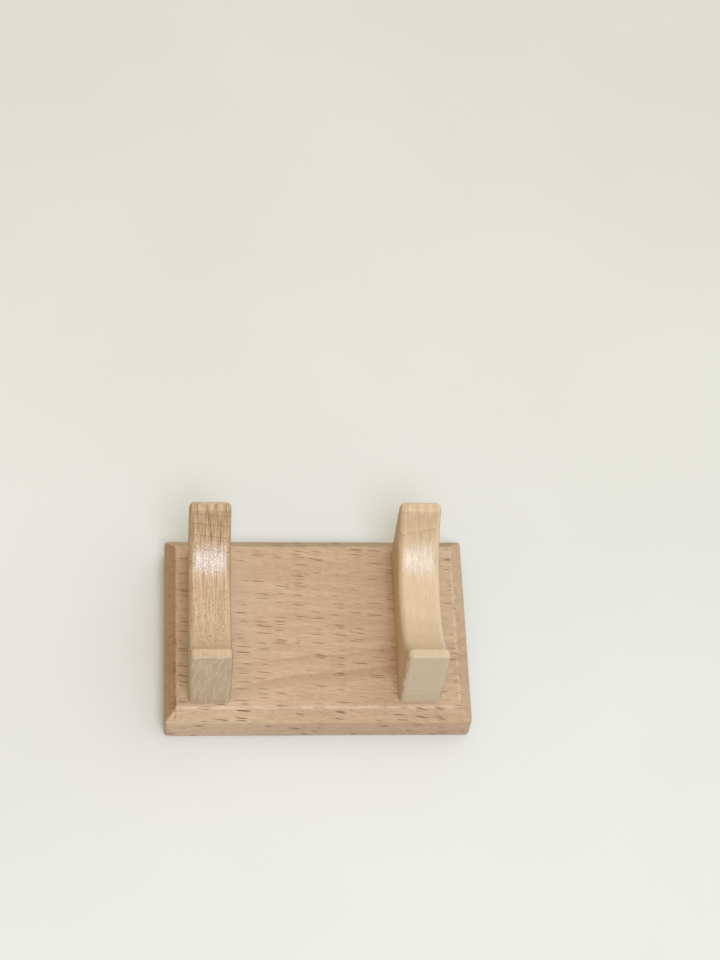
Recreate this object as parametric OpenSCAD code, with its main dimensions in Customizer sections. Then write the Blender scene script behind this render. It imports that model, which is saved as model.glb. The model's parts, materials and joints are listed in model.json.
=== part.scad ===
// Display stand for a tube: a bevelled board and two saddle-shaped cradles, each held by two
// countersunk wood screws driven up through the board.
// X runs along the tube, Y from the front to the back and Z up, all in millimetres.
// The origin is the centre of the board's underside.

/* [Tube] */
// Outer diameter of the tube that lies in the cradles
tube_d = 59; // [48:1:72]
// Gap between the tube and its seats, on the radius
tube_gap = 0.3; // [0.1:0.05:0.5]

/* [Board] */
// Length of the board, along the tube
board_len = 110; // [90:1:160]
// Thickness of the board
board_t = 15; // [12:0.5:20]
// Width and height of the bevel round the board's top
bevel = 4.5; // [2:0.5:6]
// Flat strip between the end of a cradle and the bevel
board_margin = 1.5; // [0.5:0.5:10]
// Radius of the board's upright corners
board_corner_r = 2; // [0.5:0.5:4]

/* [Cradles] */
// Thickness of each cradle, along the tube
cradle_t = 15; // [12:0.5:20]
// Height of each cradle above the board
cradle_h = 36; // [30:0.5:44]
// Height of the seat's lowest line above the board
seat_h = 18; // [15:0.5:22]
// Width of the flat lip at each end of the seat
lip_w = 3.6; // [2.5:0.1:8]
// From the board's left end to the left cradle
left_inset = 8.5; // [7:0.5:20]
// From the board's right end to the right cradle
right_inset = 11.5; // [7:0.5:20]
// Radius of a cradle's upright corners
cradle_corner_r = 2; // [0.5:0.5:3]
// Radius of the rounded edges along the seat and the lips' sides
seat_edge_r = 1.5; // [0.5:0.5:2]

/* [Screws] */
// Outer diameter of the screws' thread
screw_d = 3.5; // [3:0.5:4.5]
// Diameter of the screws' heads
screw_head_d = 7; // [6:0.5:9]
// Length of the screws, from the flat of the head to the tip
screw_len = 30; // [25:1:35]
// Depth of the heads below the board's underside
screw_sink = 0.5; // [0:0.1:1.5]
// From the end of a cradle to the nearer screw's axis
screw_inset = 12; // [8:0.5:16]

/* [Hidden] */
// Thickness of the flat rim round a screw's head
head_rim = 0.3;
// Length of a screw's tapered point
point_len = 4;
// Width of the arms of the cross recess, and its reach and depth as shares of the head's diameter
recess_w = 1.1;
recess_reach = 0.6;
recess_depth = 0.28;
// Gaps round a screw: on the radius in the board, on the radius in a cradle and past its tip
board_hole_gap = 0.25;
cradle_hole_gap = 0.05;
tip_gap = 1;
// Overlap of a cut past the face that it starts from
cut = 1;

seat_r = tube_d / 2 + tube_gap;
seat_z = board_t + seat_h + seat_r;
cradle_top = board_t + cradle_h;
seat_half = sqrt(pow(seat_r, 2) - pow(seat_z - cradle_top, 2));
cradle_len = 2 * (seat_half + lip_w);
board_depth = cradle_len + 2 * (board_margin + bevel);
left_x = left_inset + cradle_t / 2 - board_len / 2;
right_x = board_len / 2 - right_inset - cradle_t / 2;
screw_y = cradle_len / 2 - screw_inset;
screw_tip = screw_sink + screw_len;
head_r = screw_head_d / 2;
cone_end = screw_sink + head_rim + head_r - screw_d / 2;

$fn = 96;

// A rectangle centred on the origin, with rounded corners
module rounded_rect(w, d, r) {
    square([w - 2 * r, d], center = true);
    square([w, d - 2 * r], center = true);
    for (x = [-1, 1], y = [-1, 1])
        translate([x * (w / 2 - r), y * (d / 2 - r)]) circle(r = r);
}

// The board's section across a width w, upright sides below and a bevel above
module bevelled_section(w) {
    polygon([
        [-w / 2, 0], [w / 2, 0], [w / 2, board_t - bevel], [w / 2 - bevel, board_t],
        [bevel - w / 2, board_t], [-w / 2, board_t - bevel]
    ]);
}

// Hole for one screw through the board: a clearance bore and a countersink that fits the head
module board_hole() {
    translate([0, 0, -cut]) cylinder(h = board_t + 2 * cut, d = screw_d + 2 * board_hole_gap);
    mouth_r = head_r + screw_sink + head_rim;
    translate([0, 0, -cut]) cylinder(h = mouth_r + cut, r1 = mouth_r + cut, r2 = 0);
}

// Places its child at both screws of the cradle at x
module at_screws(x) {
    for (side = [-1, 1]) translate([x, side * screw_y, 0]) children();
}

module base_board() {
    color("burlywood") difference() {
        intersection() {
            linear_extrude(board_t) rounded_rect(board_len, board_depth, board_corner_r);
            translate([0, board_depth / 2 + cut, 0]) rotate([90, 0, 0])
                linear_extrude(board_depth + 2 * cut) bevelled_section(board_len);
            translate([-board_len / 2 - cut, 0, 0]) rotate([90, 0, 90])
                linear_extrude(board_len + 2 * cut) bevelled_section(board_depth);
        }
        at_screws(left_x) board_hole();
        at_screws(right_x) board_hole();
    }
}

// What the seat removes: a cylinder along X that flares at both faces of the cradle,
// so that the edges along the seat are rounded
module seat_cut() {
    flare = cradle_t / 2 - seat_edge_r;
    rotate([0, 90, 0]) rotate_extrude() {
        translate([0, -cradle_t / 2 - cut]) square([seat_r, cradle_t + 2 * cut]);
        for (end = [-1, 1]) difference() {
            translate([0, min(end * flare, end * (flare + seat_edge_r + cut))])
                square([seat_r + seat_edge_r, seat_edge_r + cut]);
            translate([seat_r + seat_edge_r, end * flare]) circle(r = seat_edge_r);
        }
    }
}

// A cradle seen from the front: square at the foot and rounded at the top
module cradle_front() {
    r = seat_edge_r;
    translate([-cradle_t / 2, 0]) square([cradle_t, cradle_h - r]);
    translate([r - cradle_t / 2, 0]) square([cradle_t - 2 * r, cradle_h]);
    for (side = [-1, 1])
        translate([side * (cradle_t / 2 - r), cradle_h - r]) circle(r = r);
}

module cradle(x) {
    color("wheat") difference() {
        translate([x, 0, board_t]) intersection() {
            linear_extrude(cradle_h) rounded_rect(cradle_t, cradle_len, cradle_corner_r);
            translate([0, cradle_len / 2 + cut, 0]) rotate([90, 0, 0])
                linear_extrude(cradle_len + 2 * cut) cradle_front();
        }
        translate([x, 0, seat_z]) seat_cut();
        at_screws(x) translate([0, 0, board_t - cut])
            cylinder(h = screw_tip + tip_gap - board_t + cut, d = screw_d + 2 * cradle_hole_gap);
    }
}

// A countersunk wood screw, head down, with its axis through [x, y]
module screw(x, y) {
    tip_start = screw_tip - point_len;
    reach = recess_reach * screw_head_d;
    color("silver") translate([x, y, 0]) difference() {
        rotate_extrude() polygon([
            [0, screw_sink], [head_r, screw_sink], [head_r, screw_sink + head_rim],
            [screw_d / 2, cone_end], [screw_d / 2, tip_start], [0, screw_tip]
        ]);
        for (turn = [0, 90]) rotate(turn)
            translate([-reach / 2, -recess_w / 2, screw_sink - cut])
                cube([reach, recess_w, recess_depth * screw_head_d + cut]);
    }
}

base_board();
cradle(left_x);  // left_cradle
cradle(right_x);  // right_cradle
screw(left_x, -screw_y);  // left_front_screw
screw(left_x, screw_y);  // left_rear_screw
screw(right_x, -screw_y);  // right_front_screw
screw(right_x, screw_y);  // right_rear_screw
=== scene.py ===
# Display stand for a card tube: a beech board and two pale saddles, screwed on from beneath.
import json
import math

import bmesh
import bpy
from mathutils import Matrix, Vector

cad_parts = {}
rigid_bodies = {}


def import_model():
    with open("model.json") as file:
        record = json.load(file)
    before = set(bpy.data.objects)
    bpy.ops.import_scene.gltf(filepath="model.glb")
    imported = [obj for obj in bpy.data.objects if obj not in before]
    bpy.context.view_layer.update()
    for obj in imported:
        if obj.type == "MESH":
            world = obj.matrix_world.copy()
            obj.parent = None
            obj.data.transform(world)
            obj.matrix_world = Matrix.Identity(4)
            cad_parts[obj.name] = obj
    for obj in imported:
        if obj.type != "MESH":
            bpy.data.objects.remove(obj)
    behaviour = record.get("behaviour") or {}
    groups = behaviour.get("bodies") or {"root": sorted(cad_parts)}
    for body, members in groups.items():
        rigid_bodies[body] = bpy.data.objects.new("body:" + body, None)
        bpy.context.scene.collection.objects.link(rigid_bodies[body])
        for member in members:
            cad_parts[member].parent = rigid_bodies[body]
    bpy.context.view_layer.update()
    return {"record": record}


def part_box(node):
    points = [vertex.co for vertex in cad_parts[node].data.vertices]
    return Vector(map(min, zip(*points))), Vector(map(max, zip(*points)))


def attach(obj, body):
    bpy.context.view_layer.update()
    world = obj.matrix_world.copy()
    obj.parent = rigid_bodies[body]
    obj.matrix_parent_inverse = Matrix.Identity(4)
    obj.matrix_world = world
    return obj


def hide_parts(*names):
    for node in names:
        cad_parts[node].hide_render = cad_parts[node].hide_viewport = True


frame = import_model()
mm = 0.001  # every size in the dictionaries below is in millimetres

viewSettings = bpy.context.scene.view_settings
viewSettings.view_transform = "Standard"  # plain colours, so that the wood keeps its own hue


class Wire:
    # a socket that can be used in sums, with numbers or with other wires
    def __init__(self, graph, socket):
        self.graph = graph
        self.socket = socket

    def maths(self, operation, *values):
        sockets = dict(enumerate(values))
        return self.graph.add("ShaderNodeMath", {"operation": operation}, sockets)

    def __add__(self, other):
        return self.maths("ADD", self, other)

    def __radd__(self, other):
        return self.maths("ADD", other, self)

    def __sub__(self, other):
        return self.maths("SUBTRACT", self, other)

    def __rsub__(self, other):
        return self.maths("SUBTRACT", other, self)

    def __mul__(self, other):
        return self.maths("MULTIPLY", self, other)

    def __rmul__(self, other):
        return self.maths("MULTIPLY", other, self)

    def __truediv__(self, other):
        return self.maths("DIVIDE", self, other)

    def __rtruediv__(self, other):
        return self.maths("DIVIDE", other, self)

    def __pow__(self, other):
        return self.maths("POWER", self, other)

    def __neg__(self):
        return self.maths("MULTIPLY", self, -1)

    def __abs__(self):
        return self.maths("ABSOLUTE", self)

    def __gt__(self, other):
        return self.maths("GREATER_THAN", self, other)

    def __lt__(self, other):
        return self.maths("LESS_THAN", self, other)

    def root(self):
        return self.maths("SQRT", self)

    def nearest(self):
        return self.maths("ROUND", self)

    def part(self):
        return self.maths("FRACT", self)

    def sine(self):
        return self.maths("SINE", self)

    def cosine(self):
        return self.maths("COSINE", self)

    def lower(self, other):
        return self.maths("MINIMUM", self, other)

    def upper(self, other):
        return self.maths("MAXIMUM", self, other)

    def angle(self, across):
        return self.maths("ARCTAN2", self, across)

    def band(self, start, end, low=0.0, high=1.0, ease="SMOOTHSTEP"):
        # from low to high as this wire goes from start to end, held at both ends
        sockets = {0: self, 1: start, 2: end, 3: low, 4: high}
        return self.graph.add("ShaderNodeMapRange", {"interpolation_type": ease}, sockets)

    def other(self, name):
        # another output of the node that this wire comes from
        return Wire(self.graph, self.socket.node.outputs[name])


class Graph:
    # a node tree; nodes come from one method, whatever their kind
    def __init__(self, tree):
        self.tree = tree

    def add(self, kind, settings=None, sockets=None, output=0):
        node = self.tree.nodes.new(kind)
        for name, value in (settings or {}).items():
            setattr(node, name, value)
        for name, value in (sockets or {}).items():
            for item in value if isinstance(value, list) else [value]:
                if isinstance(item, Wire):
                    self.tree.links.new(item.socket, node.inputs[name])
                else:
                    node.inputs[name].default_value = item
        return Wire(self, node.outputs[output]) if len(node.outputs) else node

    def vector(self, x, y, z):
        return self.add("ShaderNodeCombineXYZ", {}, {0: x, 1: y, 2: z})

    def split(self, vector):
        x = self.add("ShaderNodeSeparateXYZ", {}, {0: vector})
        return x, x.other("Y"), x.other("Z")


class Surface(Graph):
    # a material with one principled shader
    def __init__(self, name):
        self.material = bpy.data.materials.new(name)
        self.material.use_nodes = True
        super().__init__(self.material.node_tree)
        self.shader = self.tree.nodes["Principled BSDF"]
        place = self.add("ShaderNodeTexCoord", {}, {}, "Object")
        scaled = self.add("ShaderNodeVectorMath", {"operation": "SCALE"}, {0: place, "Scale": 1 / mm})
        self.x, self.y, self.z = self.split(scaled)
        self.normal = self.split(place.other("Normal"))

    def noise(self, x, y, z, detail=2.0, roughness=0.5):
        sockets = {"Vector": self.vector(x, y, z), "Scale": 1.0, "Detail": detail, "Roughness": roughness}
        return self.add("ShaderNodeTexNoise", {"noise_dimensions": "3D"}, sockets)

    def cells(self, x, y, z, dimensions="3D"):
        # nearest random point: how far it is, and three random numbers of its own
        sockets = {"Vector": self.vector(x, y, z), "Scale": 1.0, "Randomness": 1.0}
        distance = self.add("ShaderNodeTexVoronoi", {"voronoi_dimensions": dimensions}, sockets)
        pick, size, tone = self.split(distance.other("Color"))
        return distance, pick, size, tone

    def blend(self, amount, first, second, mode="MIX"):
        settings = {"data_type": "RGBA", "blend_type": mode, "clamp_factor": True}
        return self.add("ShaderNodeMix", settings, {0: amount, 6: first, 7: second}, 2)

    def finish(self, color, roughness, height, bumpStrength, fixed):
        # height is in millimetres; fixed values sit on the shader's own sockets
        sockets = {"Height": height, "Distance": mm, "Strength": bumpStrength}
        bump = self.add("ShaderNodeBump", {}, sockets)
        self.tree.links.new(color.socket, self.shader.inputs["Base Color"])
        self.tree.links.new(roughness.socket, self.shader.inputs["Roughness"])
        self.tree.links.new(bump.socket, self.shader.inputs["Normal"])
        for name, value in fixed.items():
            self.shader.inputs[name].default_value = value
        return self.material


def shade(red, green, blue):
    return (red, green, blue, 1.0)


beech = {
    "pale": shade(0.612, 0.435, 0.284),
    "pink": shade(0.572, 0.384, 0.254),
    "deep": shade(0.455, 0.288, 0.182),
    # a paler tone: the wood's own, and also painted light on the left end and a painted highlight on the
    # top edge
    "paleAndLit": shade(0.720, 0.530, 0.360),
    "fleck": shade(0.175, 0.086, 0.032),
    "fleckFace": shade(0.270, 0.135, 0.072),  # a ray seen from its broad side
    "endTintAndShade": shade(0.730, 0.630, 0.545),    # on the two ends: end grain, and much more on the left end as painted shade
    "rearShade": shade(0.850, 0.845, 0.760),   # painted shade on the slope at the rear, darker and yellower
    "grainSlope": 0.09,   # how much the fibres run towards the front, along the board
    "wander": 2.0,        # how far the grain drifts sideways
    "heartY": -60.0,      # where the rings are centred, seen from the board's end
    "heartZ": -45.0,
    "ringStart": 72.5,    # distance from that centre at which a ring ends
    "ringWidth": 4.08,
    "taper": -0.135,      # how fast the rings widen along the board
    "ringShare": 1.0,
    "fleckSize": (7.0, 0.46, 2.4),  # spacing of the rays along, across and through the board
    "fleckShare": 0.29,
    "tearOut": 0.56,      # torn end fibres along the top edge of both ends
    "roughness": 0.42,
    "reflection": 1.5,    # index of refraction of the finish
}


def beechMaterial(look, halfLength, top, bevel):
    skin = Surface("beech")
    x, y, z = skin.x, skin.y, skin.z
    drift = skin.noise(x / 46, y / 24, z / 24, 2.0) - 0.5
    ripple = skin.noise(x / 9, y / 5, z / 8, 1.0) - 0.5
    across = y + x * look["grainSlope"] + drift * look["wander"] * 2 + ripple * 0.5
    deep = z + drift * look["wander"]

    # growth rings: shells round the heart, each one darkening slowly and ending at once
    ringNoise = skin.noise(x / 26, across / 8, deep / 8, 3.0) - 0.5
    radius = ((across - look["heartY"]) ** 2 + (deep - look["heartZ"]) ** 2).root()
    count = (radius + x * look["taper"] + ringNoise * 0.8 - look["ringStart"]) / look["ringWidth"]
    phase = count.part()
    strength = abs(count - phase + 0.7).band(0.35, 1.2, 1.0, 0.2)  # one dry year stands out
    ring = phase.band(0.25, 1.0) * phase.band(0.965, 1.0, 1.0, 0.0) * strength

    # fibres and pores, drawn out along the board
    fibre = skin.noise(x / 8, across / 0.45, deep / 0.45, 4.0, 0.65)
    streak = skin.noise(x / 26, across / 1.6, deep / 1.6, 3.0)
    pore = skin.noise(x / 1.6, across / 0.16, deep / 0.16, 1.0).band(0.60, 0.72)

    # rays: thin upright plates along the fibres, in clusters
    cluster = skin.noise(x / 20, across / 8, deep / 12, 2.0).band(0.30, 0.66, 0.45, 1.35, "LINEAR")

    def rays(size, share, reach):
        length, width, depth = size
        distance, pick, amount, tone = skin.cells(x / length, across / width, deep / depth)
        edge = amount.band(0, 1, reach * 0.45, reach, "LINEAR") + (fibre - 0.5) * 0.12
        body = (distance / edge).band(0.86, 1.0, 1.0, 0.0)
        return body * (pick < cluster * share) * tone.band(0, 1, 0.6, 1.0, "LINEAR")

    longRays = rays(look["fleckSize"], look["fleckShare"], 0.47)
    shortRays = rays((3.8, 0.30, 1.6), 0.50, 0.45)

    # the same rays on the long sides, where they show their broad face
    distance, pick, amount, tone = skin.cells((x + z * 0.6) / 6.6, (z + drift * 3) / 3.3, 0.0, "2D")
    spots = (distance / amount.band(0, 1, 0.22, 0.46, "LINEAR")).band(0.15, 1.0, 1.0, 0.0)
    spots = spots * (pick < 0.42) * tone.band(0, 1, 0.5, 1.0, "LINEAR")

    # torn fibres where the end slopes meet the top
    fromEdge = abs(x) - (halfLength - bevel)
    slopeFoot = top - bevel
    tear = skin.noise(x / 3.6, y / 0.40, 1.0, 1.0).band(0.57, 0.62)
    crack = skin.noise(x / 6, y / 5.0, 3.0, 2.0).band(0.40, 0.52)
    waver = (skin.noise(x, y / 1.4, 0.0, 2.0) - 0.5) * 2.4
    line = abs(fromEdge - 0.6 + waver).band(0.12, 0.40, 1.0, 0.0)
    dashes = abs(fromEdge - 0.9).band(1.6, 3.8, 1.0, 0.0) * tear
    torn = (dashes + line * y.band(2, -12, 0.15, 0.9)) * crack.band(0.0, 1.0, 0.10, 1.0)
    torn = torn * look["tearOut"] * x.band(-40, 40, 1.0, 0.30) * y.band(20, -20, 0.5, 1.0)
    torn = torn * z.band(slopeFoot + 0.5, slopeFoot + 2.0)

    mottle = skin.noise(x / 36, y / 15, z / 15, 2.0)
    wood = skin.blend(mottle.band(0.36, 0.64), look["pale"], look["pink"])
    wood = skin.blend(ring * look["ringShare"], wood, look["deep"])
    wood = skin.blend(streak.band(0.40, 0.64) * 0.42, wood, look["deep"])
    wood = skin.blend(fibre.band(0.38, 0.66) * 0.62, wood, look["deep"])
    # paler towards the left end: partly the wood's own tone, partly painted light on the top strip that
    # the left cradle shades; pale streaks of figure join in
    gleam = skin.noise(x / 2.4, across / 0.30, deep / 0.6, 2.0).band(0.58, 0.68)
    wood = skin.blend((x.band(-10, -34) * 0.30).upper(gleam * 0.36), wood, look["paleAndLit"])
    wood = skin.blend(pore * 0.20, wood, look["fleckFace"])
    broadSide = abs(skin.normal[1]).band(0.80, 0.98)
    mark = skin.blend(broadSide, look["fleck"], look["fleckFace"])
    notEnd = abs(skin.normal[0]).band(0.3, 0.6, 1.0, 0.3)
    wood = skin.blend(shortRays * (0.34 - broadSide * 0.2) * notEnd, wood, mark)
    wood = skin.blend(longRays * (1.0 - broadSide * 0.75) * notEnd, wood, mark)
    wood = skin.blend(spots * broadSide * 0.85, wood, mark)

    # end grain drinks more of the finish, and worn edges lose some of it; painted shade darkens the left
    # end and the rear slope, and a painted highlight pales the sanded top edge
    endGrain = abs(skin.normal[0]).band(0.40, 0.68)
    # painted shade: the end tint is full on the left end and faint on the right
    wood = skin.blend(endGrain * x.band(-50, 50, 1.0, 0.10), wood, look["endTintAndShade"], "MULTIPLY")
    # painted shade on the rear slope, picked by its facing
    shadedRearSlope = skin.normal[1].band(0.4, 0.7) * skin.normal[2].band(0.2, 0.5)
    wood = skin.blend(shadedRearSlope, wood, look["rearShade"], "MULTIPLY")
    wood = skin.blend(torn, wood, look["fleck"])
    tilt = skin.normal[2].band(0.74, 0.90) * skin.normal[2].band(0.93, 0.995, 1.0, 0.0)
    grit = skin.noise(x / 1.0, y / 0.5, z / 0.5, 2.0, 0.7)
    rubbed = skin.noise(x / 5, y / 5, z / 5, 3.0).band(0.32, 0.62)
    # the sanded top edge turns paler: partly wear, partly a painted highlight
    wornAndLitEdge = tilt * rubbed * grit.band(0.38, 0.60, 0.3, 1.3)
    wood = skin.blend(wornAndLitEdge * 0.55, wood, look["paleAndLit"])

    roughness = look["roughness"] + fibre * 0.12 + longRays * 0.15 - wornAndLitEdge * 0.20
    height = grit * (tilt * 0.17 + 0.090) + fibre * 0.030 - longRays * 0.03 - torn * 0.06 - pore * 0.02
    height = height + skin.noise(x / 16, y / 9, z / 9, 2.0) * 0.22
    return skin.finish(wood, roughness, height, 0.8, {"IOR": look["reflection"]})


leftMaple = {
    "name": "streakyMaple",
    "pale": shade(0.634, 0.446, 0.279),
    "deep": shade(0.434, 0.270, 0.144),
    "mark": shade(0.205, 0.114, 0.058),
    "endTone": shade(0.570, 0.470, 0.355),
    # a paler tone, used for painted light on the front end and on the right-hand edge
    "paleAndLit": shade(0.720, 0.550, 0.370),
    "endShare": 0.40,          # how far the end faces turn to their own tone
    "endLines": 0.25,          # strength of the ring lines on them
    "ringTilt": (0.11, 0.25),  # how much the rings climb along X and along Y
    "ringStart": 35.2,
    "ringWidth": 4.1,
    "ringShade": 0.16,
    "ringLine": 0.85,          # strength of the dark line where a ring ends
    "lineFade": (9.0, 18.0),   # from where to where, along Y, those lines grow strong
    "lineEnd": 40.0,           # and past where they are gone
    "speck": shade(0.830, 0.650, 0.390),
    "speckle": 1.0,
    "lipShade": shade(0.925, 0.885, 0.840),  # painted shade on the front lip
    "rightEdgeLight": 0.25,        # painted light: how pale the right-hand edge of the seat is, where the light from the right falls
    "sideShade": 0.60,         # painted shade: how much darker the flat sides are, more so near the top
    "cornerShare": 0.20,       # darker brown, in patches, on the upright corners at both ends
    "thinShare": 0.60,         # thin dark streaks near the rear
    "streakLean": 0.15,
    "calm": 0.85,              # how strong the figure is in the front half, against the rear
    "endFigure": 1.25,         # and on the end faces
    "streakShare": 0.85,
    "fibreShare": 0.95,
    "frontPaintedLight": 0.55,          # painted light: how much paler the front end of the block is
    "dashShare": 0.75,
    "roughness": 0.21,
    "gloss": 0.85,             # specular level of the polish
    "reflection": 1.52,        # and its index of refraction
    "grit": 0.115,             # height of the marks left by fine paper
}
rightMaple = {
    "name": "evenMaple",
    "pale": shade(0.700, 0.520, 0.345),
    "deep": shade(0.536, 0.369, 0.216),
    "mark": shade(0.318, 0.191, 0.099),
    "endTone": shade(0.565, 0.465, 0.345),
    # a paler tone, used for painted light on the front end and on the right-hand edge
    "paleAndLit": shade(0.715, 0.558, 0.388),
    "endShare": 0.55,
    "endLines": 0.80,
    "ringTilt": (-0.13, -0.25),
    "ringStart": 33.4,
    "ringWidth": 4.4,
    "ringShade": 0.22,
    "ringLine": 0.50,
    "lineFade": (17.0, 20.5),
    "lineEnd": 24.5,
    "speck": shade(0.830, 0.690, 0.480),
    "speckle": 0.25,
    "lipShade": shade(0.905, 0.910, 0.905),
    "rightEdgeLight": 0.80,
    "sideShade": 0.25,
    "cornerShare": 0.80,
    "thinShare": 0.15,
    "streakLean": 0.05,
    "calm": 0.35,
    "endFigure": 0.40,
    "streakShare": 0.42,
    "fibreShare": 0.62,
    "frontPaintedLight": 0.30,
    "dashShare": 0.28,
    "roughness": 0.30,
    "gloss": 0.75,
    "reflection": 1.5,
    "grit": 0.065,
}


def mapleMaterial(look, middleX, halfLength):
    skin = Surface(look["name"])
    x, y, z = skin.x - middleX, skin.y, skin.z
    wave = skin.noise(x / 12, y / 18, z / 18, 2.0) - 0.5
    endGrain = abs(y).band(halfLength - 1.2, halfLength - 0.5)
    lean = look["streakLean"] * (endGrain + 0.12)
    across = x - (z - 40) * lean + wave * 0.3  # the streaks pivot 40 mm above the table
    up = z + x * look["streakLean"]

    # rings lie almost flat, so that they cross the seat as lines
    tiltX, tiltY = look["ringTilt"]
    bend = skin.noise(x / 6, y / 9, z / 9, 2.0) - 0.5
    rings = (z + x * tiltX + y * tiltY + bend - look["ringStart"]) / look["ringWidth"]
    phase = rings.part()
    ring = phase.band(0.2, 0.95) * phase.band(0.97, 1.0, 1.0, 0.0)
    fine = skin.noise(x / 1.1, y / 0.9, z / 0.9, 2.0).band(0.30, 0.56)
    fade = y.band(look["lineFade"][0], look["lineFade"][1], 0.12, 1.0)
    fade = fade * y.band(look["lineEnd"], look["lineEnd"] + 1.5, 1.0, 0.0)
    fade = (fade * (1 - endGrain * 0.7)).upper(endGrain * look["endLines"])
    line = abs(phase - 0.5).band(0.455, 0.496) * fine * fade

    # streaks and rays stand upright and run from the front to the back
    streak = skin.noise(across / 0.80, y / 20, up / 9, 2.0, 0.5)
    fibre = skin.noise(across / 0.36, y / 7, up / 4, 2.0, 0.5)
    rear = y.band(4, 16, look["calm"], 1.0).upper(endGrain * look["endFigure"])
    pore = skin.noise(across / 0.16, y / 1.7, up / 1.2, 1.0).band(0.60, 0.72)
    distance, pick, _, tone = skin.cells(across / 0.55, y / 3.0, up / 1.5)
    dash = (distance / 0.46).band(0.6, 1.0, 1.0, 0.0) * (pick < 0.26) * tone

    wood = skin.blend(ring * look["ringShade"], look["pale"], look["deep"])
    wood = skin.blend(streak.band(0.44, 0.60) * look["streakShare"] * rear, wood, look["deep"])
    wood = skin.blend(fibre.band(0.44, 0.62) * look["fibreShare"] * 0.8 * rear, wood, look["deep"])
    thin = streak.band(0.52, 0.62) * fibre.band(0.42, 0.56) * y.band(4, 16, 0.15, 1.0)
    wood = skin.blend(thin * look["thinShare"], wood, look["mark"])
    # painted light: the front part of the block, seat included, is painted paler
    wood = skin.blend(y.band(6, -20) * (1 - endGrain) * look["frontPaintedLight"], wood, look["paleAndLit"])
    sideFace = abs(skin.normal[0]).band(0.5, 0.95)
    # painted shade on the flat sides, stronger towards the top
    wood = skin.blend(sideFace * look["sideShade"] * z.band(30, 46, 1.0, 1.9), wood, look["deep"])
    # painted light on the right-facing rounded edge
    litRightEdge = skin.normal[0].band(0.25, 0.60) * skin.normal[0].band(0.70, 0.95, 1.0, 0.0)
    wood = skin.blend(litRightEdge * look["rightEdgeLight"], wood, look["paleAndLit"])
    corner = abs(skin.normal[0]).band(0.30, 0.60) * abs(skin.normal[1]).band(0.30, 0.60)
    corner = corner * skin.noise(x / 2, y / 2, z / 5, 2.0).band(0.40, 0.60)
    corner = corner * abs(y).band(halfLength - 3, halfLength - 2)
    wood = skin.blend(corner * look["cornerShare"], wood, look["mark"])
    wood = skin.blend(pore * look["fibreShare"] * 0.4, wood, look["mark"])
    dash = dash * sideFace.band(0.0, 1.0, 1.0, 0.25)  # their broad face is much paler
    wood = skin.blend(dash * look["dashShare"] * 0.7, wood, look["mark"])
    wood = skin.blend(line * look["ringLine"], wood, look["mark"])

    # the front half of the seat is speckled with small dark and pale dots
    speckled = y.band(8, 0) * y.band(-25, -17) * (1 - sideFace) * look["speckle"]
    darkSpeck = skin.noise(x / 0.50, y / 0.90, z / 0.90, 1.0).band(0.60, 0.70)
    paleSpeck = skin.noise(x / 0.55, y / 0.75, z / 0.75 + 40, 1.0).band(0.60, 0.70)
    wood = skin.blend(darkSpeck * speckled * 0.55, wood, look["mark"])
    wood = skin.blend(paleSpeck * speckled * 0.70, wood, look["speck"])
    wood = skin.blend(endGrain * look["endShare"], wood, look["endTone"])

    grit = skin.noise(x / 0.44, y / 0.44, z / 0.44, 1.0, 0.75)
    lips = abs(y).band(halfLength - 6.0, halfLength - 4.0)
    # painted shade: the top of the front lip is painted darker
    shadedLip = (-y).band(halfLength - 4.5, halfLength - 3.5) * (1 - endGrain)
    wood = skin.blend(shadedLip, wood, look["lipShade"], "MULTIPLY")
    roughness = look["roughness"] + fibre * 0.08 + pore * 0.1 + sideFace.upper(lips) * 0.30
    height = grit * look["grit"] + fibre * 0.016 - pore * 0.02 - line * 0.008
    height = height + skin.noise(x / 9, y / 9, z / 9, 2.0) * 0.22
    fixed = {"Specular IOR Level": look["gloss"], "IOR": look["reflection"]}
    return skin.finish(wood, roughness, height, 0.8, fixed)


zinc = {
    "cool": shade(0.60, 0.61, 0.62),
    "warm": shade(0.72, 0.70, 0.64),
    "roughness": 0.24,
}


def zincMaterial(look):
    skin = Surface("zinc")
    cloud = skin.noise(skin.x / 2.2, skin.y / 2.2, skin.z / 2.2, 3.0)
    scratch = skin.noise(skin.x / 0.9, skin.y / 0.08, skin.z / 0.4, 3.0)
    tone = skin.blend(cloud.band(0.3, 0.7), look["cool"], look["warm"])
    roughness = look["roughness"] + cloud * 0.16 + scratch * 0.10
    fixed = {"Metallic": 1.0}
    return skin.finish(tone, roughness, scratch * 0.006 + cloud * 0.01, 0.5, fixed)


def newObject(name, form, recalculate=True):
    if recalculate:
        bmesh.ops.recalc_face_normals(form, faces=form.faces)
    mesh = bpy.data.meshes.new(name)
    form.to_mesh(mesh)
    form.free()
    thing = bpy.data.objects.new(name, mesh)
    bpy.context.collection.objects.link(thing)
    return thing


def dropObject(thing):
    mesh = thing.data
    bpy.data.objects.remove(thing)
    bpy.data.meshes.remove(mesh)


def bakeModifiers(thing):
    # the evaluated shape becomes the object's own plain mesh
    graph = bpy.context.evaluated_depsgraph_get()
    mesh = bpy.data.meshes.new_from_object(thing.evaluated_get(graph))
    old = thing.data
    thing.modifiers.clear()
    thing.data = mesh
    mesh.name = thing.name
    bpy.data.meshes.remove(old)
    return thing


def closeHoles(thing):
    form = bmesh.new()
    form.from_mesh(thing.data)
    bmesh.ops.remove_doubles(form, verts=form.verts, dist=0.002 * mm)
    openEdges = [edge for edge in form.edges if edge.is_boundary]
    bmesh.ops.holes_fill(form, edges=openEdges, sides=0)
    bmesh.ops.recalc_face_normals(form, faces=form.faces)
    form.to_mesh(thing.data)
    form.free()


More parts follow.
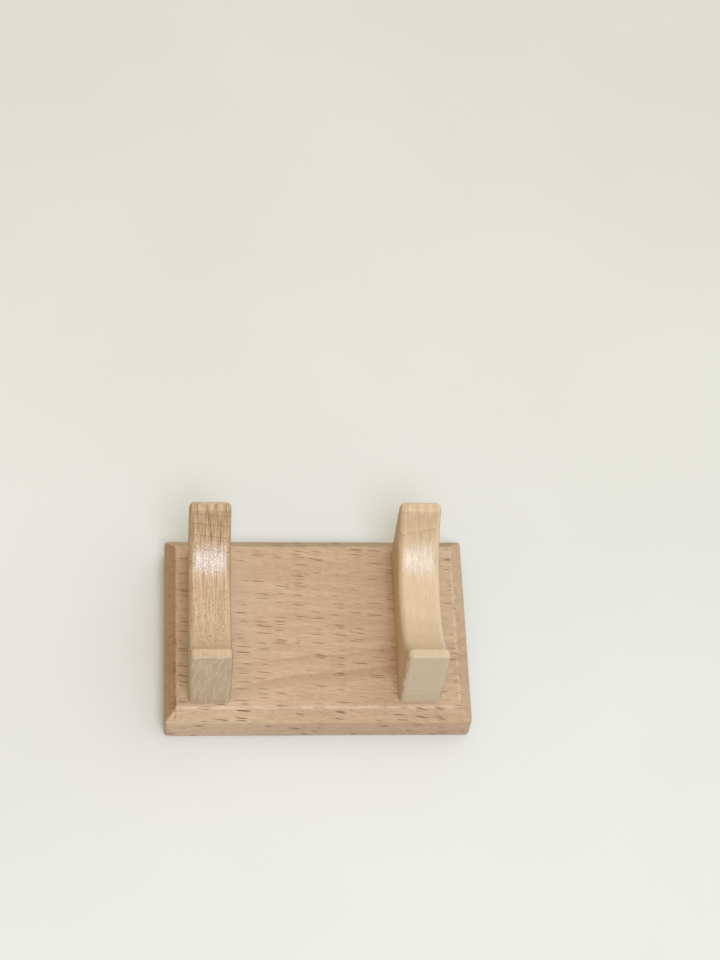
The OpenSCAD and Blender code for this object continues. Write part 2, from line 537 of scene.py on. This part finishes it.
def smooth(thing, degrees=35):
    thing.data.polygons.foreach_set("use_smooth", [True] * len(thing.data.polygons))
    thing.data.set_sharp_from_angle(angle=math.radians(degrees))
    weighted = thing.modifiers.new("evenNormals", "WEIGHTED_NORMAL")
    weighted.keep_sharp = True
    bakeModifiers(thing)


def arc(centreX, centreY, radius, start, end, steps):
    points = []
    for step in range(steps + 1):
        turn = math.radians(start + (end - start) * step / steps)
        points.append((centreX + radius * math.cos(turn), centreY + radius * math.sin(turn)))
    return points


def lathe(name, outline, centres, steps=48):
    # spins an outline of (radius, height) round Z at each centre
    form = bmesh.new()
    for centreX, centreY in centres:
        rings = []
        for radius, height in outline:
            ring = []
            for step in range(steps):
                turn = math.tau * step / steps
                place = (centreX + radius * math.cos(turn), centreY + radius * math.sin(turn), height)
                ring.append(form.verts.new(Vector(place) * mm))
            rings.append(ring)
        for low, high in zip(rings, rings[1:]):
            for step in range(steps):
                after = (step + 1) % steps
                form.faces.new((low[step], low[after], high[after], high[step]))
        form.faces.new(rings[0][::-1])
        form.faces.new(rings[-1])
    return newObject(name, form)


def drill(thing, outline, centres):
    cutter = lathe("cutter", outline, centres)
    cut = thing.modifiers.new("drill", "BOOLEAN")
    cut.operation = "DIFFERENCE"
    cut.solver = "EXACT"
    cut.object = cutter
    bakeModifiers(thing)
    dropObject(cutter)


def boxOf(node):
    low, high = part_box(node)
    return Vector(low) / mm, Vector(high) / mm


boardLow, boardHigh = boxOf("base_board")
screwNodes = ["left_front_screw", "left_rear_screw", "right_front_screw", "right_rear_screw"]
screwBoxes = [boxOf(node) for node in screwNodes]
screwCentres = [((low.x + high.x) / 2, (low.y + high.y) / 2) for low, high in screwBoxes]
screwLow, screwHigh = screwBoxes[0]
seatMount = next(item for item in frame["record"]["mounts"] if item["name"] == "tube_seat")
seatRadius = seatMount["dims"]["r_mm"]
seatBottom = seatMount["pos_m"][2] / mm


board = {
    "bevel": 4.5,            # width and height of the slope round the top
    "cornerRadius": 1.6,     # upright corners
    "mitreRadius": 0.45,     # crease where two slopes meet
    "mitreShrink": 3.4,      # how fast the corner turns into that crease, going up
    "footRadius": 0.7,
    "shoulderRadius": 1.0,
    "topRadius": 3.2,        # hand-sanded edge between the slope and the flat top
    "holeRadius": 2.0,
    "countersinkRadius": 4.3,
}


def roundedLoop(halfX, halfY, radius, cornerSteps=8, sideSteps=12):
    # the outline of a rounded rectangle, anticlockwise, always with as many points
    loop = []
    corners = [(1, -1, -90), (1, 1, 0), (-1, 1, 90), (-1, -1, 180)]
    for number, (signX, signY, start) in enumerate(corners):
        centreX, centreY = signX * (halfX - radius), signY * (halfY - radius)
        loop += arc(centreX, centreY, radius, start, start + 90, cornerSteps)
        nextX, nextY, nextStart = corners[(number + 1) % 4]
        turn = math.radians(nextStart)
        target = Vector((nextX * (halfX - radius) + radius * math.cos(turn),
                         nextY * (halfY - radius) + radius * math.sin(turn)))
        here = Vector(loop[-1])
        for step in range(1, sideSteps):
            loop.append(tuple(here.lerp(target, step / sideSteps)))
    return loop


def makeBoard(size):
    halfX = (boardHigh.x - boardLow.x) / 2
    halfY = (boardHigh.y - boardLow.y) / 2
    top = boardHigh.z
    shoulder = top - size["bevel"]
    foot, edge, crown = size["footRadius"], size["shoulderRadius"], size["topRadius"]
    reach = math.tan(math.radians(22.5))  # a fillet's run on each side of a 45 degree turn
    profile = arc(foot, foot, foot, -90, -180, 6)
    profile += arc(edge, shoulder - edge * reach, edge, 180, 135, 6)
    profile += arc(size["bevel"] + crown * reach, top - crown, crown, 135, 90, 10)
    profile.append((profile[-1][0] + 1.0, top))  # one more ring, on the flat

    form = bmesh.new()
    rings = []
    for inset, height in profile:
        shrink = 1.0 if height < foot else size["mitreShrink"]
        radius = max(size["cornerRadius"] - shrink * inset, size["mitreRadius"])
        loop = roundedLoop(halfX - inset, halfY - inset, radius)
        rings.append([form.verts.new(Vector((pointX, pointY, height)) * mm) for pointX, pointY in loop])
    count = len(rings[0])
    for low, high in zip(rings, rings[1:]):
        for step in range(count):
            after = (step + 1) % count
            form.faces.new((low[step], low[after], high[after], high[step]))
    form.faces.new(rings[0][::-1])
    form.faces.new(rings[-1])
    piece = newObject("baseBoard", form)

    hole, mouth = size["holeRadius"], size["countersinkRadius"]
    drill(piece, [(mouth + 1, -1), (mouth, 0), (hole, mouth - hole), (hole, top + 1)], screwCentres)
    smooth(piece)
    piece.data.materials.append(beechMaterial(beech, halfX, top, size["bevel"]))
    return piece


baseBoard = makeBoard(board)
print("board made")


leftCradleSize = {
    "edgeRadius": 1.9,       # long edges at both sides of the seat
    "endShare": 0.95,        # the upright edges at both ends, as a share of that
    "lipRadius": 0.7,        # outer edge of each lip
    "seatLipRadius": 0.45,   # inner edge of each lip
    "sanding": 0.12,         # depth of the hollows left by hand sanding
}
rightCradleSize = {
    "edgeRadius": 2.2,
    "endShare": 0.75,
    "lipRadius": 0.8,
    "seatLipRadius": 1.3,
    "sanding": 0.18,
}
pilot = {"radius": 1.8, "depth": 16.5}


class Shape(Graph):
    # a geometry tree with named sizes
    def __init__(self, name, sizes):
        tree = bpy.data.node_groups.new(name, "GeometryNodeTree")
        super().__init__(tree)
        face = tree.interface
        face.new_socket("Geometry", in_out="INPUT", socket_type="NodeSocketGeometry")
        face.new_socket("Geometry", in_out="OUTPUT", socket_type="NodeSocketGeometry")
        self.ids = {}
        for title, kind in sizes.items():
            self.ids[title] = face.new_socket(title, in_out="INPUT", socket_type=kind).identifier
        self.start = self.add("NodeGroupInput")
        self.sizes = {title: self.start.other(title) for title in sizes}

    def finish(self, geometry, material):
        real = self.add("GeometryNodeRealizeInstances", {}, {0: geometry})
        done = self.add("GeometryNodeSetMaterial", {}, {0: real, "Material": material})
        self.add("NodeGroupOutput", {}, {0: done})

    def use(self, thing, values):
        modifier = thing.modifiers.new(self.tree.name, "NODES")
        modifier.node_group = self.tree
        for title, value in values.items():
            modifier[self.ids[title]] = value
        return bakeModifiers(thing)


def cradleShape(material, name):
    # a loft along X: every station is the side view of the cradle, drawn in a little near both faces
    titles = ["Thickness", "Length", "Height", "Seat Radius", "Seat Height", "Edge Radius",
              "End Share", "Lip Radius", "Seat Lip Radius", "Sanding"]
    sizes = {title: "NodeSocketFloat" for title in titles}
    sizes["Foot"] = "NodeSocketVector"
    tree = Shape(name, sizes)
    size = tree.sizes

    edgeSteps, bodySteps = 7, 10          # stations across a rounded edge, and between the two
    faceSteps, lipSteps, innerSteps, seatSteps = 10, 5, 5, 34
    stations = 2 * edgeSteps + bodySteps + 1
    halfOutline = 1 + faceSteps + lipSteps + 1 + innerSteps + seatSteps
    outline = 2 * halfOutline + 1
    grid = tree.add("GeometryNodeMeshGrid", {}, {2: stations, 3: outline})
    gridX, gridY, _ = tree.split(tree.add("GeometryNodeInputPosition"))  # both from -0.5 to 0.5
    station = ((gridX + 0.5) * (stations - 1)).nearest()
    column = ((gridY + 0.5) * (outline - 1)).nearest()

    # across the thickness
    last = stations - 1
    fromFace = station.lower(last - station)
    side = (station > last / 2) * 2 - 1
    turn = (fromFace / edgeSteps).band(0, 1, 0, math.pi / 2, "LINEAR")
    inset = size["Edge Radius"] * (1 - turn.sine())
    flat = size["Thickness"] / 2 - size["Edge Radius"]
    travel = ((station - edgeSteps) / (last - 2 * edgeSteps)).band(0, 1, -1, 1, "LINEAR")
    acrossX = flat * travel + side * size["Edge Radius"] * turn.cosine()

    # along half of the outline: foot, end face, lip, seat
    step = column.lower(outline - 1 - column)
    end = (column > (outline - 1) / 2) * 2 - 1  # the first half of the outline is at the front
    shrink = 1 - inset / (size["Edge Radius"] * 1.25)  # the lips' radii, which must not reach 0
    lipRadius = size["Lip Radius"] * shrink
    innerRadius = size["Seat Lip Radius"] * shrink
    halfLength = size["Length"] / 2 - inset * size["End Share"]
    top = size["Height"] - inset
    seat = size["Seat Radius"] + inset
    axisZ = size["Seat Height"] + size["Seat Radius"]

    climb = ((step - 1) / faceSteps).band(0, 1, 0, 1, "LINEAR")
    bend = ((step - 1 - faceSteps) / lipSteps).band(0, 1, 0, math.pi / 2, "LINEAR")
    outerY = halfLength - lipRadius * (1 - bend.cosine())
    outerZ = (top - lipRadius) * climb + lipRadius * bend.sine()

    innerZ = top - innerRadius
    innerY = ((seat + innerRadius) ** 2 - (axisZ - innerZ) ** 2).root()
    towards = (axisZ - innerZ).angle(-innerY)
    firstInner = 1 + faceSteps + lipSteps + 1
    roll = ((step - firstInner) / innerSteps).band(0, 1, 0, 1, "LINEAR")
    rollTurn = math.pi / 2 + (towards - math.pi / 2) * roll
    rolledY = innerY + innerRadius * rollTurn.cosine()
    rolledZ = innerZ + innerRadius * rollTurn.sine()

    firstSeat = firstInner + innerSteps
    swing = innerY.angle(axisZ - innerZ) * ((step - firstSeat) / seatSteps).band(0, 1, 1, 0, "LINEAR")
    seatY = seat * swing.sine()
    seatZ = axisZ - seat * swing.cosine()

    onInner = step > firstInner - 0.5
    onSeat = step > firstSeat + 0.5
    alongY = outerY * (1 - onInner) + rolledY * (onInner - onSeat) + seatY * onSeat
    upZ = outerZ * (1 - onInner) + rolledZ * (onInner - onSeat) + seatZ * onSeat
    place = tree.vector(acrossX, alongY * (step > 0.5) * end, upZ)
    shaped = tree.add("GeometryNodeSetPosition", {}, {0: grid, "Position": place})
    welded = tree.add("GeometryNodeMergeByDistance", {}, {0: shaped, "Distance": 0.001 * mm})

    # hand sanding: faint hollows, none at the foot
    field = tree.add("GeometryNodeInputPosition")
    scaled = tree.add("ShaderNodeVectorMath", {"operation": "SCALE"}, {0: field, "Scale": 1 / (8 * mm)})
    shifted = tree.add("ShaderNodeVectorMath", {}, {0: scaled, 1: size["Foot"]})
    wave = tree.add("ShaderNodeTexNoise", {}, {"Vector": shifted, "Scale": 1.0, "Detail": 1.0})
    height = tree.split(field)[2]
    amount = (wave - 0.5) * size["Sanding"] * height.band(0.5 * mm, 4 * mm)
    normal = tree.add("GeometryNodeInputNormal")
    push = tree.add("ShaderNodeVectorMath", {"operation": "SCALE"}, {0: normal, "Scale": amount})
    level = tree.add("ShaderNodeVectorMath", {"operation": "MULTIPLY"}, {0: push, 1: (0.0, 1.0, 1.0)})
    moved = tree.add("ShaderNodeVectorMath", {}, {0: level, 1: size["Foot"]})
    sanded = tree.add("GeometryNodeSetPosition", {}, {0: welded, "Offset": moved})
    tree.finish(sanded, material)
    return tree


def makeCradle(name, node, look, size):
    low, high = boxOf(node)
    middleX = (low.x + high.x) / 2
    material = mapleMaterial(look, middleX, (high.y - low.y) / 2)
    shape = cradleShape(material, name + "Shape")
    piece = newObject(name, bmesh.new())
    shape.use(piece, {
        "Thickness": (high.x - low.x) * mm,
        "Length": (high.y - low.y) * mm,
        "Height": (high.z - low.z) * mm,
        "Seat Radius": seatRadius * mm,
        "Seat Height": (seatBottom - low.z) * mm,
        "Edge Radius": size["edgeRadius"] * mm,
        "End Share": size["endShare"],
        "Lip Radius": size["lipRadius"] * mm,
        "Seat Lip Radius": size["seatLipRadius"] * mm,
        "Sanding": size["sanding"] * mm,
        "Foot": (middleX * mm, 0.0, low.z * mm),
    })
    closeHoles(piece)
    centres = [centre for centre in screwCentres if low.x < centre[0] < high.x]
    drill(piece, [(pilot["radius"], low.z - 1), (pilot["radius"], low.z + pilot["depth"])], centres)
    piece.data.materials.clear()
    piece.data.materials.append(material)
    piece.data.polygons.foreach_set("material_index", [0] * len(piece.data.polygons))
    smooth(piece)
    return piece


leftCradle = makeCradle("leftCradle", "left_cradle", leftMaple, leftCradleSize)
rightCradle = makeCradle("rightCradle", "right_cradle", rightMaple, rightCradleSize)
print("cradles made")


screw = {
    "rim": 0.3,
    "threadRadius": 1.75,
    "coreRadius": 1.15,
    "shankLength": 9.0,      # plain shank under the head
    "shankShare": 0.93,      # its radius, as a share of the thread's
    "pitch": 1.5,
    "pointLength": 4.0,
    "recessReach": 4.2,
    "recessWidth": 1.05,
    "recessDepth": 1.9,
}


def screwShape(material):
    titles = ["Head Radius", "Rim", "Thread Radius", "Core Radius", "Shank Length", "Length",
              "Shank Share", "Pitch", "Point Length", "Recess Reach", "Recess Width", "Recess Depth"]
    tree = Shape("woodScrewShape", {title: "NodeSocketFloat" for title in titles})
    size = tree.sizes
    around, levels = 40, 190
    rod = tree.add("GeometryNodeMeshCylinder", {"fill_type": "NGON"}, {
        "Vertices": around, "Side Segments": levels, "Radius": 1.0, "Depth": 1.0})
    rodX, rodY, rodZ = tree.split(tree.add("GeometryNodeInputPosition"))
    # levels crowd together at the head, so that its rim and cone stay crisp
    height = size["Length"] * (rodZ + 0.5) ** 1.25
    turn = rodY.angle(rodX)

    coneEnd = size["Rim"] + size["Head Radius"] - size["Thread Radius"]
    head = size["Head Radius"] - (height - size["Rim"]).upper(0.0)
    threadStart = size["Shank Length"]
    tipStart = size["Length"] - size["Point Length"]
    run = (height / size["Pitch"] - turn / math.tau).part()
    ridge = run.band(0.32, 0.5) * run.band(0.5, 0.68, 1.0, 0.0)
    grown = height.band(threadStart, threadStart + 2 * mm)  # the thread starts shallow
    thread = size["Core Radius"] + (size["Thread Radius"] - size["Core Radius"]) * ridge
    shank = size["Thread Radius"] * size["Shank Share"]
    body = shank + (thread - shank) * grown
    taper = ((size["Length"] - height) / (size["Length"] - tipStart)).band(0, 1, 0.02, 1, "LINEAR")
    radius = head.upper(body * taper)
    radius = radius * (height < coneEnd) + body * taper * (1 - (height < coneEnd))
    place = tree.vector(turn.cosine() * radius, turn.sine() * radius, height)
    shaped = tree.add("GeometryNodeSetPosition", {}, {0: rod, "Position": place})

    # cross recess: two blades that narrow towards the bottom
    reach, width, depth = size["Recess Reach"], size["Recess Width"], size["Recess Depth"]
    blades = []
    for sizeX, sizeY in ((reach, width), (width, reach)):
        block = tree.add("GeometryNodeMeshCube", {}, {"Size": tree.vector(sizeX, sizeY, depth * 2)})
        blockX, blockY, blockZ = tree.split(tree.add("GeometryNodeInputPosition"))
        narrow = blockZ.band(0.0, depth, 1.0, 0.45, "LINEAR")
        tapered = tree.vector(blockX * narrow, blockY * narrow, blockZ)
        blades.append(tree.add("GeometryNodeSetPosition", {}, {0: block, "Position": tapered}))
    cutting = {"operation": "DIFFERENCE", "solver": "EXACT"}
    headed = tree.add("GeometryNodeMeshBoolean", cutting, {"Mesh 1": shaped, "Mesh 2": blades})

    # every screw stopped at its own turn
    twist = tree.add("FunctionNodeRandomValue", {"data_type": "FLOAT"}, {"Max": 1.5, "Seed": 4}, 1)
    placed = tree.add("GeometryNodeInstanceOnPoints", {}, {
        "Points": tree.start, "Instance": headed, "Rotation": tree.vector(0.0, 0.0, twist)})
    tree.finish(placed, material)
    return tree


def makeScrews(size):
    form = bmesh.new()
    for centreX, centreY in screwCentres:
        form.verts.new(Vector((centreX, centreY, screwLow.z)) * mm)
    piece = newObject("woodScrews", form, False)
    screwShape(zincMaterial(zinc)).use(piece, {
        "Head Radius": (screwHigh.x - screwLow.x) / 2 * mm,
        "Rim": size["rim"] * mm,
        "Thread Radius": size["threadRadius"] * mm,
        "Core Radius": size["coreRadius"] * mm,
        "Shank Length": size["shankLength"] * mm,
        "Shank Share": size["shankShare"],
        "Length": (screwHigh.z - screwLow.z) * mm,
        "Pitch": size["pitch"] * mm,
        "Point Length": size["pointLength"] * mm,
        "Recess Reach": size["recessReach"] * mm,
        "Recess Width": size["recessWidth"] * mm,
        "Recess Depth": size["recessDepth"] * mm,
    })
    smooth(piece, 40)
    return piece


woodScrews = makeScrews(screw)
print("screws made")


for piece, nodes, slotName in [
    (baseBoard, ["base_board"], "board_wood"),
    (leftCradle, ["left_cradle"], "left_cradle_wood"),
    (rightCradle, ["right_cradle"], "right_cradle_wood"),
    (woodScrews, screwNodes, "screw_steel"),
]:
    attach(piece, "root")
    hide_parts(*nodes)


table = {
    "reach": 4000.0,  # from the middle to each side
    "cool": shade(0.705, 0.710, 0.690),
    "warm": shade(0.735, 0.740, 0.725),
    "roughness": 0.55,
    "gloss": 0.3,
}


def tableMaterial(look):
    skin = Surface("paleTable")
    cloud = skin.noise(skin.x / 160, skin.y / 160, skin.z / 160, 3.0)
    tone = skin.blend(cloud.band(0.3, 0.7), look["cool"], look["warm"])
    grain = skin.noise(skin.x / 0.8, skin.y / 0.8, skin.z / 0.8, 2.0)
    fixed = {"Specular IOR Level": look["gloss"]}
    return skin.finish(tone, look["roughness"] + grain * 0.1, grain * 0.01, 0.2, fixed)


def makeFloor(look):
    form = bmesh.new()
    bmesh.ops.create_grid(form, x_segments=1, y_segments=1, size=look["reach"] * mm)
    piece = newObject("floor", form, False)
    piece.data.materials.append(tableMaterial(look))


keyLight = {
    "direction": (0.07, -0.49, 0.87),  # from the stand to the lamp
    "distance": 1300.0,
    "width": 550.0,
    "power": 9.4,
    "color": (0.67, 0.78, 1.0),
}


def makeKeyLight(look):
    data = bpy.data.lights.new("frontKey", "AREA")
    data.shape = "DISK"
    data.size = look["width"] * mm
    data.energy = look["power"]
    data.color = look["color"]
    light = bpy.data.objects.new("frontKey", data)
    away = Vector(look["direction"]).normalized()
    light.location = away * look["distance"] * mm
    light.rotation_mode = "QUATERNION"
    light.rotation_quaternion = away.to_track_quat("Z", "Y")
    bpy.context.collection.objects.link(light)


# direction and colour of each broad glow that lights the room
roomGlows = [
    ((0.0, 0.0, 1.0), (0.42, 0.40, 0.26)),
    ((0.5, -0.5, 0.7), (0.45, 0.46, 0.38)),
    ((0.5, 0.5, 0.7), (0.66, 0.71, 0.78)),
    ((0.0, 0.96, 0.28), (0.18, 0.15, 0.07)),
    ((0.0, -0.96, 0.28), (0.20, 0.17, 0.10)),
    ((-0.7, 0.0, 0.7), (0.34, 0.19, 0.04)),
]


def makeRoom(glows):
    world = bpy.data.worlds.new("studio")
    world.use_nodes = True
    bpy.context.scene.world = world
    tree = Graph(world.node_tree)
    place = tree.add("ShaderNodeTexCoord", {}, {}, "Generated")
    total = tree.vector(0.0, 0.0, 0.0)
    for direction, color in glows:
        sockets = {0: place, 1: Vector(direction).normalized()}
        facing = tree.add("ShaderNodeVectorMath", {"operation": "DOT_PRODUCT"}, sockets, "Value")
        sockets = {0: color, "Scale": facing.upper(0.0) ** 2}
        glow = tree.add("ShaderNodeVectorMath", {"operation": "SCALE"}, sockets)
        total = tree.add("ShaderNodeVectorMath", {}, {0: total, 1: glow})
    background = world.node_tree.nodes["Background"]
    world.node_tree.links.new(total.socket, background.inputs["Color"])


camera = {
    "distance": 888.8,
    "azimuth": 9.64,      # turned to the right of straight ahead
    "elevation": 59.1,    # how far it looks down
    "roll": 8.55,
    "aim": (18.24, 61.22, 15.0),
    "lens": 88.59,
}


def makeCamera(size):
    data = bpy.data.cameras.new("camera")
    data.lens = size["lens"]
    data.clip_start = 0.01
    data.clip_end = 20.0
    turn, drop = math.radians(size["azimuth"]), math.radians(size["elevation"])
    ahead = Vector((math.sin(turn) * math.cos(drop), math.cos(turn) * math.cos(drop), -math.sin(drop)))
    level = Vector((math.cos(turn), -math.sin(turn), 0.0))
    above = level.cross(ahead)
    roll = math.radians(size["roll"])
    right = level * math.cos(roll) + above * math.sin(roll)
    up = above * math.cos(roll) - level * math.sin(roll)
    thing = bpy.data.objects.new("camera", data)
    axes = Matrix((right, up, -ahead)).transposed()
    place = Vector(size["aim"]) * mm - ahead * size["distance"] * mm
    thing.matrix_world = Matrix.Translation(place) @ axes.to_4x4()
    bpy.context.collection.objects.link(thing)
    bpy.context.scene.camera = thing


makeFloor(table)
makeKeyLight(keyLight)
makeRoom(roomGlows)
makeCamera(camera)
print("stage set")
